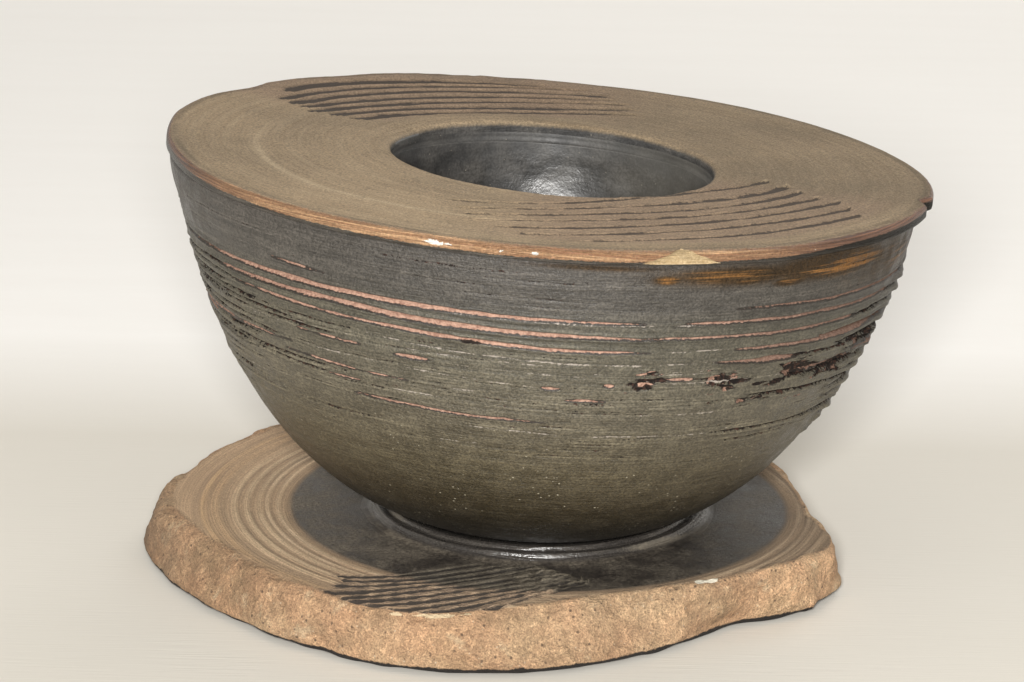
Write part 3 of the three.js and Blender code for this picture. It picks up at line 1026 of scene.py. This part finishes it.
def scraped_beds(grid, from_edge):
    """How strongly the comb scraped the clay between its teeth, in the back and the front stroke."""
    azimuth, radius = polar(grid)
    back = smooth(near_azimuth(azimuth, 110), 152, 143) * smooth(azimuth, 60, 92) * smooth(radius, 60, 70)
    front = smooth(azimuth, -108, -84) * smooth(azimuth, -6, -22) * smooth(from_edge, 7, 14)
    return back, front


def combed_top(grid, from_edge, behind, combed):
    """The relief of the disc's top: swells, turning marks, and the combs' grooves with their burrs."""
    relief = 0.35 * noise(grid, 60, 3) * smooth(from_edge, 0, 20) + 0.10 * noise(grid, 34, 1)
    relief += 0.07 * noise(lanes_round(grid), 3.0, 2) + 0.05 * noise(grid, 2.2, 4)
    relief -= np.where(behind, 0.60, 0.40) * smooth(combed, np.where(behind, -1.6, -0.5), 0.5)
    relief += 0.2 * hill(combed, np.where(behind, -2.0, -0.9), 0.5)
    return relief + 0.55 * hill(polar(grid)[0], 85, 45) * smooth(from_edge, 60, 0)


def edge_pull(azimuth, from_edge, on_chip):
    """How far the notch and the chip draw the disc's edge in."""
    middle, reach, bite = NOTCH
    notched = np.clip(1 - np.abs(aside(azimuth, middle)) / reach, 0, 1)
    pull = bite * notched * smooth(from_edge, 5.0, 0.0)
    return pull + 1.1 * on_chip * smooth(from_edge, 3.0, 0.0)


def edge_fields(azimuths, azimuth, height, from_edge):
    """The fields of the edge's copper band, the dark slip under it and the white spots painted on it as
    highlights.
    """
    on_edge = np.minimum(np.minimum(2.2 - from_edge, 2.0), -0.12 - height)
    glints = [reach * oval((azimuth - middle) / spread, (height + 2.2) / reach)
              for middle, spread, reach in EDGE_GLINTS]
    return {
        "edge": np.where(height < -DISC_THICKNESS + 0.05, UNMARKED, on_edge),
        "reddened": smooth(np.abs(aside(azimuth, -100)), 32, 62),
        "right": smooth(np.abs(aside(azimuth, -5)), 62, 36),
        "slipped": np.where(from_edge < 4, -height - closed_curve(azimuths, EDGE_BAND_DEPTHS), UNMARKED),
        "edge_glint": np.max(glints, axis=0) - 2 * smooth(from_edge, 1.0, 3.0),
    }


def make_disc():
    azimuths = columns(420, 0.30)
    grid, outline = disc_grid(azimuths)
    azimuth, radius = polar(grid)
    height = grid[..., 2].copy()
    from_mouth = np.hypot(grid[..., 0] - MOUTH_OFFSET[0], grid[..., 1] - MOUTH_OFFSET[1]) - MOUTH_RADIUS
    from_edge = outline - radius
    lines = lines_round(radius - height, grid)
    on_top = smooth(height, -1.6, -0.3)
    behind = azimuth > 20
    number, pitch, half = disc_combs(grid, behind)
    burrs = burrs_at_the_ends(FRONT_STROKE, grid)
    back, front = scraped_beds(grid, from_edge)
    chip = chip_field(grid, from_edge)
    on_chip = smooth(chip, 0.0, 1.0)
    relief = combed_top(grid, from_edge, behind, comb_field(number, pitch, half)) + 0.55 * burrs
    relief -= 0.45 * back * smooth(radius, 119, 112) + 0.25 * front
    relief -= on_chip * np.clip(0.5 * chip, 0, 1.2) * smooth(from_edge, 0.5, 2)
    outwards = grid[..., :2] / radius[..., None]
    grid = raised(grid, relief * on_top)
    grid[..., :2] -= outwards * edge_pull(azimuth, from_edge, on_chip)[..., None]
    crease = hill(aside(azimuth, 156), 0, 14) + 0.6 * hill(azimuth, 38, 9)
    grid[..., 2] -= 1.3 * crease * smooth(from_mouth, 9.0, 0.5) * smooth(height, -4.5, -2.0)
    worn_ring = hill(radius, 97 - 0.10 * np.abs(aside(azimuth, -135)), 1.4)
    worn_ring *= smooth(np.abs(aside(azimuth, -140)), 60, 20)
    attributes = {
        **edge_fields(azimuths, azimuth, height, from_edge),
        "tooth": number,
        "pitch": pitch,
        "half": half,
        "combing": np.stack([5 * number, azimuth, np.zeros(radius.shape)], axis=-1),
        "groove_shade": np.where(behind, 1.0, 0.32),
        "scraped": np.maximum(0.95 * back, 0.8 * front),
        "brink": hill(from_edge, 2.6, 1.1) * on_top * (0.75 + 0.5 * noise(grid, (9, 9, 3), 3)),
        "worn": worn_ring + 0.9 * burrs,
        "tone": closed_curve(azimuths, DISC_TONES) + 0.06 * noise(grid, 50, 6),
        "mouth": np.where(from_mouth < 6, -height - 1.1 + 0.5 * crease, UNMARKED),
        "chip": chip,
        "lines": lines,
    }
    return build("combed_disc", pot_to_world(grid), attributes, False, taupe_material())


# The inner cup


def cup_section():
    """Up the outside, round the lap behind the disc's mouth, and down the inside."""
    fall = np.cos(np.linspace(0, math.pi / 2, 200))
    width = np.sqrt(np.clip(1 - fall**2.2, 0, None))
    outside = paced(wall(CUP_RADIUS + CUP_WALL, CUP_DEPTH + CUP_WALL, width, fall), even(7.0))
    inside = wall(CUP_RADIUS, CUP_DEPTH, width, fall)[::-1]
    inside = paced(inside, lambda radius, height: np.where(height > -45, 0.75, 1.6))
    lap = [(0.40, -4.75), (0.45, -3.0), (0.30, -1.8), (0.10, -2.6), (-0.02, -3.6), (-0.06, -4.5)]
    lap = [(MOUTH_RADIUS + behind, height) for behind, height in lap]
    return np.concatenate([outside, lap, inside[1:]]), len(outside) + len(lap)


def make_cup():
    section, outer_rows = cup_section()
    grid = turned(section, columns(300, 0.0))
    azimuth, radius = polar(grid)
    depth = -grid[..., 2]
    is_inside = np.arange(len(section))[:, None] >= outer_rows
    undercut = hill(aside(azimuth, 156), 0, 16) + 0.8 * hill(azimuth, 38, 11)
    flush = (CUP_RADIUS - MOUTH_RADIUS + 0.07) * smooth(depth, 27, DISC_THICKNESS) * (1 - 0.5 * undercut)
    ripple = 0.40 * noise(grid, (26, 26, 11), 3) + 0.16 * noise(grid, (9, 9, 5), 5)
    relief = (flush + ripple * smooth(depth, 6, 12)) * smooth(radius, 2, 10)
    grid = raised(grid, np.where(is_inside, relief, 0))
    attributes = {
        "lines": lines_round(depth, grid),
        "dusty": hill(near_azimuth(azimuth, 35), 30, 32) * (0.8 + 0.4 * noise(grid, 20, 2)),
        "lip": smooth(depth, 15, 7),
    }
    grid[..., :2] += MOUTH_OFFSET
    return build("burnished_cup", pot_to_world(grid), attributes, True, cup_material())


# The slab and its seat ring

# The comb's strokes over the slab, from left to right: (x, y) along each.
SLAB_STROKES = [
    [(-62, -71), (-43, -69.5), (-31, -64.5), (-18, -58)],
    [(-60, -74.5), (-43, -74), (-30, -69), (-21, -64.5), (-8, -57)],
    [(-62, -79), (-43, -77), (-24, -70.5), (-12, -64), (0, -58)],
    [(-66, -87), (-42, -81), (-30, -76), (-12, -67.5), (2, -61)],
    [(-60, -90), (-42, -85), (-24, -78), (-5, -69.5), (5, -64)],
    [(-58, -93), (-42, -90), (-24, -82), (-2, -71.5), (8, -66)],
    [(-53, -96), (-33, -91), (-18, -85), (1, -74), (10, -68.5)],
    [(-47, -100), (-33, -96), (-11, -85), (2, -77), (13, -70)],
    [(-40, -103), (-25, -98), (-8, -87), (5, -78.5), (15, -72)],
    [(-31, -105), (-18, -100), (-5, -90), (7, -80), (16, -74)],
]
SLAB_COMB = Comb(SLAB_STROKES, 1.15, 0.70)
# Low ridges that the turning left on the slab: (radius, height).
RIDGES = [(85.2, 0.7), (88.8, 0.8), (91.4, 0.5), (95.2, 0.7), (99.0, 0.6), (103.0, 0.5), (107.0, 0.5)]


def slab_section():
    """Fractions of the outline with heights: under the foot, up the side and in over the top."""
    size, bend = 110.0, 14.4
    shoulder_radius = 0.962 * size
    foot = [(0, 0.9), (0.90, 0.9), (0.945, 0.0), (0.965, 0.2), (0.992, 2.0), (1.0, 4.2)]
    shoulder = [(shoulder_radius + (radius - shoulder_radius) * 4.18, bend + (height - bend) * 4.6)
                for radius, height in arc((shoulder_radius, bend), 1.0, 0, 90, 9)]
    scale = np.array((size, 1.0))
    parts = [
        paced(np.array(foot) * scale, lambda radius, height: np.where(radius < 98, 9.0, 0.7)),
        paced([(size, 4.2), (size, bend)], even(0.62))[1:],
        paced(shoulder, even(0.62))[1:],
        paced([(shoulder_radius, SLAB_TOP), (0.0, SLAB_TOP)],
              lambda radius, height: np.where(radius > 60, 0.62, np.where(radius > 34, 1.3, 2.6)))[1:],
    ]
    return np.concatenate(parts) / scale


def slab_shade(azimuth, grid):
    """How bright the turned clay is: brighter at the left than at the right."""
    return 1.02 + 0.32 * np.cos(np.radians(azimuth - 190)) + 0.1 * noise(grid, 40, 2)


def torn_side(grid):
    """Lumps, dents and pits of the slab's side."""
    relief = 1.9 * noise(grid, (36, 36, 20), 1) + 1.3 * noise(grid, (14, 14, 9), 2)
    relief -= 1.1 * np.abs(noise(grid, (20, 20, 15), 5))
    relief += 0.55 * noise(grid, (5, 5, 4), 3) + 0.35 * noise(grid, 2.0, 4)
    return relief - 2.2 * np.clip(noise(grid, 3.4, 6) - 0.5, 0, 1)


def turned_top(grid, turned_share, combed):
    """The slab's top: turned ridges, combed grooves with their burrs, and an uneven rim."""
    radius = polar(grid)[1]
    ridges = sum(height * hill(radius + 0.25 * noise(grid, 30, order), place, 1.15)
                 for order, (place, height) in enumerate(RIDGES))
    burr = 0.9 * hill(combed, -0.9, 0.5) * smooth(grid[..., 0], -20, 12)
    relief = 0.6 * ridges * turned_share - 0.35 * smooth(combed, -0.6, 0.5)
    relief += burr * (1 + noise(grid, 2.0, 3))
    return relief + 0.10 * noise(lanes_round(grid), 2.4, 5) * smooth(radius, 80, 90)


def slab_outlines(azimuths):
    """The radii of the torn outline at the slab's top edge and at its foot."""
    top = closed_curve(azimuths, evenly_turned(SLAB_TOP_RADII) + [(-20, 101.5), (-30, 99)])
    foot = closed_curve(azimuths, evenly_turned(SLAB_FOOT_RADII) + [(-14, 102.5), (-28, 100.5)])
    return top, foot


def slab_combs(grid):
    """The comb's fields over the slab, with no marks beyond the outermost teeth."""
    number, pitch, half = comb_fields(SLAB_COMB, grid[..., 0], grid[..., 1], grid, 0.15)
    half += 0.40 * noise(grid, 12, 2) + 0.42 * noise(grid, 4, 3) - 3.0 * (np.abs(number - 4.5) > 4.95)
    return number, pitch, half


def edge_crumbs(grid, azimuth, from_edge):
    """The fields of the pale crumbs and of the white chip by the slab's front edge."""
    at_side = 3 * smooth(grid[..., 2], 17.4, 16.4)
    crumb = 1.1 * oval((azimuth + 109) / 6.5, (from_edge - 1.4) / 0.9) + 0.9 * noise(grid, 2.0, 2)
    white = 1.3 * oval((azimuth + 52.2) / 2.0, (from_edge - 2.6) / 0.85) + 0.8 * noise(grid, 2.2, 3)
    return {"crumb": crumb - at_side, "white": white - at_side}


def make_slab():
    section = slab_section()
    azimuths = columns(430, 0.25)
    level = section[:, 1, None] / SLAB_TOP
    top_outline, foot_outline = slab_outlines(azimuths)
    outline = foot_outline + (top_outline - foot_outline) * level
    grid = turned(section, azimuths)
    grid[..., :2] *= outline[..., None]
    azimuth, radius = polar(grid)
    x = grid[..., 0]
    lines = lines_round(radius, grid)
    top_share = smooth(grid[..., 2], 17.8, 18.9)
    is_top = top_share > 0.9
    is_under = np.arange(len(section))[:, None] < np.argmax(section[:, 0] > 0.95)
    side_share = np.where(is_under, 0, 1 - top_share)
    turned_field = top_outline - 3.0 - radius + 1.4 * noise(grid, 22, 9) + 0.8 * noise(grid, 6, 7)
    turned_field = np.where(is_top, np.clip(turned_field, UNMARKED, 4), UNMARKED)
    turned_share = smooth(turned_field, -0.5, 1.5)
    number, pitch, half = slab_combs(grid)
    combed = comb_field(number, pitch, half)
    top_relief = turned_top(grid, turned_share, combed)
    near_edge = smooth(radius, 0.80 * outline, 0.97 * outline)
    top_relief += (0.5 * noise(grid, 45, 8) + 0.45 * noise(grid, 7, 9) * (1 - turned_share)) * near_edge
    grid = raised(grid, torn_side(grid) * side_share * smooth(grid[..., 2], -0.2, 5.0))
    grid[..., 2] += top_relief * top_share
    lift = np.clip(0.7 + 1.1 * noise(grid, 20, 12) + 0.5 * noise(grid, 6, 13), 0, 2.2)
    grid[..., 2] += lift * smooth(radius, 0.93 * foot_outline, 0.97 * foot_outline) * (1 - level) ** 4
    dish = bowl_underside(grid[..., 0], grid[..., 1]) - SEAM - 0.1
    grid[..., 2] = np.where(is_under | (radius > 75), grid[..., 2], np.minimum(grid[..., 2], dish))
    height = grid[..., 2]
    left_end = hill(aside(azimuth, 180), 0, 18)
    front = near_azimuth(azimuth, -90)
    attributes = {
        **edge_crumbs(grid, azimuth, top_outline - radius),
        "turned": turned_field,
        "rough": 1 - 0.85 * turned_share,
        "ring": radius + 0.35 * noise(grid, 30, 3) + 0.10 * noise(grid, 5, 4),
        "shade": slab_shade(azimuth, grid),
        "lit": 1 + 0.15 * smooth(front, -60, -28) - 0.06 * hill(front, -84, 18) - 0.10 * left_end,
        "tooth": number,
        "pitch": pitch,
        "half": np.where(is_top, half, -6.0),
        "combing": np.stack([5 * number, x, np.zeros(radius.shape)], axis=-1),
        "bundle": smooth(combed, -2.4, -1.6) * top_share,
        # Painted shadow under the slab's lowest edge.
        "contact_shadow": 2.7 - height + 0.6 * noise(grid, 5, 8),
        "left_end_dark": 0.45 * left_end * smooth(height, 18.0, 13.0),
        "lines": lines,
    }
    return build("torn_slab", grid, attributes, True, slab_material())


def ring_section():
    """A closed loop: out along the underside, which lies in the slab, and in over the bead."""
    radii, heights = np.array(RING_SECTION, float).T
    across = np.linspace(radii[-1], radii[0], 150)
    bead = np.pad(np.interp(across, radii, heights), 1, mode="edge")
    bead = np.convolve(bead, np.ones(3) / 3, mode="valid")
    under = [(radius, RING_UNDERSIDE) for radius in np.linspace(radii[0], radii[-1], 8)]
    return np.concatenate([under, np.stack([across, SLAB_TOP + bead], axis=1)]), len(under)


def make_seat_ring():
    section, under_rows = ring_section()
    grid = turned(section, columns(360, 0.3))
    azimuth, radius = polar(grid)
    is_top = np.arange(len(section))[:, None] >= under_rows
    relief = 0.22 * noise(grid, 20, 1) + 0.08 * noise(grid, 8, 2)
    top = grid[..., 2] + relief * smooth(radius, 62, 59)
    top = np.minimum(top, bowl_underside(grid[..., 0], grid[..., 1]) - SEAM)
    grid[..., 2] = np.where(is_top, np.maximum(top, RING_UNDERSIDE + 0.05), grid[..., 2])
    right = hill(azimuth, -43, 18) * (1.8 - np.abs(radius - 54.5 - 0.05 * (azimuth + 43)))
    left = hill(aside(azimuth, -157), 0, 9) * (1.7 - np.abs(radius - 50.0))
    attributes = {
        "worn": np.clip(np.maximum(right, left), -2, 2) - 0.9,
        "apron": smooth(radius, 54.4, 56.4),
        "shade": slab_shade(azimuth, grid),
        "lines": lines_round(radius, grid),
    }
    return build("beaded_ring", grid, attributes, False, ring_material())


# The stage, lights and camera


def make_stage():
    """A pale floor that sweeps up into a round backdrop far outside every view."""
    floor_radius, bend, wall_top = 2700.0, 300.0, 1500.0
    sweep = arc((floor_radius, bend), bend, -90, 0, 10)
    rings = [(0.1, 0.0), (400.0, 0.0), (floor_radius - 600, 0.0), *sweep, (floor_radius + bend, wall_top)]
    grid = turned(np.array(rings), columns(96, 0.0))
    s = Shader("pale_cloth")
    back = s.add("ShaderNodeSeparateXYZ", {"Vector": s.place}).outputs["Y"]
    threads = s.noise(1, 2, 0.5, s.stretched(s.place, (40, 900, 40)))
    slubs = s.noise(1, 2, 0.5, s.stretched(s.place, (4, 60, 4)))
    # Painted light: the cloth is painted paler towards the back, standing in for a brightly lit backdrop.
    cloth = s.ramp(s.math("MULTIPLY_ADD", back, 2.0, 0.5), [
        (0.15, (0.60, 0.575, 0.52)), (0.45, (0.68, 0.655, 0.60)), (0.74, (0.68, 0.655, 0.60)),
        (0.98, (0.955, 0.95, 0.94)),
    ])
    cloth = s.mix(s.times(s.plus(threads, slubs), 0.06), cloth, (0.55, 0.50, 0.44))
    # The cloth is darker under the key lamp, where it would burn out in the other views.
    under_key = s.times(s.step(back, -0.20, -0.75), s.step(back, -1.60, -1.20))
    cloth = s.varied(cloth, (under_key, 1.0, 0.32))
    s.finish(cloth, 0.9, s.bump(threads, 0.0001))
    rows, count = grid.shape[:2]
    index = np.arange(rows * count).reshape(rows, count)
    lower, upper = index[:-1], index[1:]
    quads = np.stack([lower, upper, np.roll(upper, -1, axis=1), np.roll(lower, -1, axis=1)], axis=-1)
    mesh = bpy.data.meshes.new("floor")
    faces = quads.reshape(-1, 4).tolist() + [index[0].tolist()]
    mesh.from_pydata((grid.reshape(-1, 3) * MM).tolist(), [], faces)
    mesh.shade_smooth()
    mesh.materials.append(s.material)
    floor = bpy.data.objects.new("floor", mesh)
    bpy.context.scene.collection.objects.link(floor)


def add_light(name, place, target, size, power, colour):
    light = bpy.data.lights.new(name, "AREA")
    light.shape = "DISK"
    light.size = size
    light.energy = power
    light.color = colour
    lamp = bpy.data.objects.new(name, light)
    lamp.location = place
    lamp.rotation_euler = (Vector(target) - Vector(place)).to_track_quat("-Z", "Y").to_euler()
    lamp.visible_camera = False
    bpy.context.scene.collection.objects.link(lamp)


def make_lights():
    add_light("key", (-0.03, -1.15, 0.465), (0, 0, 0.07), 0.16, 22.0, (1.0, 0.985, 0.96))
    add_light("back_fill", (0.9, 1.7, 1.5), (0, 0, 0.06), 1.2, 12.0, (1.0, 0.98, 0.95))
    world = bpy.data.worlds.new("studio")
    world.use_nodes = True
    surround = world.node_tree.nodes["Background"].inputs
    surround["Color"].default_value = (1.0, 0.955, 0.88, 1)
    surround["Strength"].default_value = 0.60
    bpy.context.scene.world = world
    bpy.context.scene.view_settings.view_transform = "Standard"


def make_camera():
    """The photograph's own viewpoint, from a perspective fit of the round outlines."""
    place = (0, -1.3273, 0.4859)
    pitch_down, yaw_left, roll = 0.3002, 0.0073, 0.0181
    turn = Matrix.Rotation(yaw_left, 4, "Z") @ Matrix.Rotation(math.pi / 2 - pitch_down, 4, "X")
    turn = turn @ Matrix.Rotation(roll, 4, "Z")
    data = bpy.data.cameras.new("camera")
    data.sensor_width = 36
    data.lens = 150.9
    data.clip_end = 20
    camera = bpy.data.objects.new("camera", data)
    camera.matrix_world = Matrix.Translation(place) @ turn
    bpy.context.scene.collection.objects.link(camera)
    bpy.context.scene.camera = camera


def place(piece, body, node, slot):
    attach(piece, body)
    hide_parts(node)


make_camera()
make_stage()
make_lights()
place(make_slab(), "slab", "base_slab", "grogged_clay")
place(make_seat_ring(), "slab", "seat_ring", "black_slip")
place(make_bowl(), "pot", "bowl_shell", "olive_black_slip")
place(make_disc(), "pot", "rim_disc", "taupe_clay")
place(make_cup(), "pot", "inner_cup", "burnished_black")
